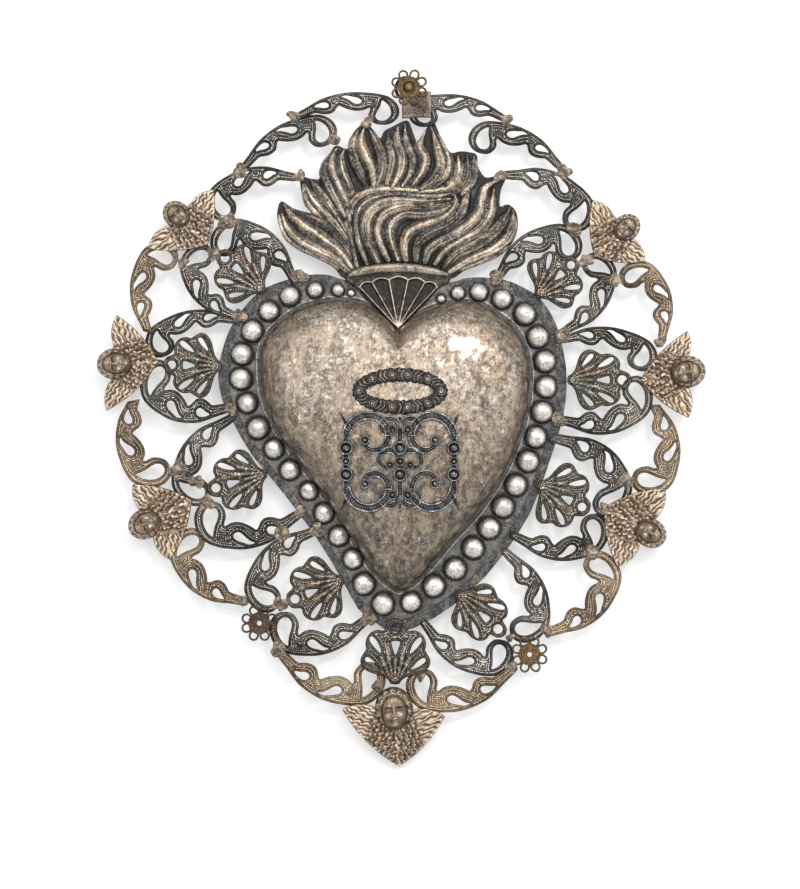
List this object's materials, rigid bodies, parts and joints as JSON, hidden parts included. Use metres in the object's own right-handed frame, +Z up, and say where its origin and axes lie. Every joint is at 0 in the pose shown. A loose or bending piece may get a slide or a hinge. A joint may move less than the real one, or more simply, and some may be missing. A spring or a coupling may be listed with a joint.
{
  "type": "ex-voto plaque",
  "caption": "Domed heart with beads and a torch of flames in an openwork frame of scroll leaves, palmettes and winged heads, with a hanging ring.",
  "frame": {"origin": "middle of the heart on the rear face of the back plate", "axes": "+X to the viewer's right, +Z up, +Y into the wall; the front faces -Y"},
  "size_m": [0.3024, 0.0303, 0.3479],
  "materials": {
    "grey_sheet": "dull grey silvered sheet",
    "silvered_sheet": "aged silvered sheet, warm patina",
    "gunmetal_sheet": "stamped sheet, bright bead tops",
    "blackened_casting": "blackened casting, bright edges",
    "dark_tin": "dark stamped sheet",
    "warm_tin": "coppery stamped sheet",
    "black_tin": "blackened stamped sheet",
    "pale_tin": "pale stamped sheet, speckled",
    "brassy_wire": "aged yellow wire and disc",
    "solder": "pale solder"
  },
  "bodies": {
    "plaque": {"back_plate": "grey_sheet", "heart_dome": "silvered_sheet", "bead_border": "gunmetal_sheet", "flame_panel": "silvered_sheet", "torch_cup": "silvered_sheet", "scroll_cartouche": "blackened_casting", "flower_wreath": "blackened_casting", "leaf_left_01": "dark_tin", "leaf_left_02": "dark_tin", "leaf_left_03": "dark_tin", "leaf_left_04": "dark_tin", "leaf_left_05": "dark_tin", "leaf_left_06": "warm_tin", "leaf_left_07": "dark_tin", "leaf_left_08": "dark_tin", "leaf_left_09": "warm_tin", "leaf_left_10": "dark_tin", "leaf_left_11": "dark_tin", "leaf_left_12": "warm_tin", "leaf_left_13": "dark_tin", "leaf_left_14": "dark_tin", "leaf_left_15": "warm_tin", "leaf_right_01": "dark_tin", "leaf_right_02": "dark_tin", "leaf_right_03": "dark_tin", "leaf_right_04": "dark_tin", "leaf_right_05": "dark_tin", "leaf_right_06": "warm_tin", "leaf_right_07": "dark_tin", "leaf_right_08": "dark_tin", "leaf_right_09": "warm_tin", "leaf_right_10": "dark_tin", "leaf_right_11": "dark_tin", "leaf_right_12": "warm_tin", "leaf_right_13": "dark_tin", "leaf_right_14": "dark_tin", "leaf_right_15": "warm_tin", "palmette_upper_left": "black_tin", "palmette_left": "black_tin", "palmette_lower_left": "black_tin", "palmette_bottom_left": "black_tin", "palmette_bottom": "black_tin", "palmette_bottom_right": "black_tin", "palmette_lower_right": "black_tin", "palmette_right": "black_tin", "palmette_upper_right": "black_tin", "cherub_upper_left": "pale_tin", "cherub_left": "pale_tin", "cherub_lower_left": "pale_tin", "cherub_bottom": "pale_tin", "cherub_lower_right": "pale_tin", "cherub_right": "pale_tin", "cherub_upper_right": "pale_tin", "rosette_top": "brassy_wire", "rosette_bottom_left": "brassy_wire", "rosette_bottom_right": "brassy_wire", "hanger_strap": "dark_tin", "solder_joints": "solder"},
    "ring": {"hanging_ring": "brassy_wire"}
  },
  "joints": [
    {"name": "ring_swing", "type": "hinge", "parent": "plaque", "child": "ring", "pos_m": [0.0035, -0.0008, 0.1704], "axis": [-1, 0, 0], "range_deg": [0, 150]}
  ]
}
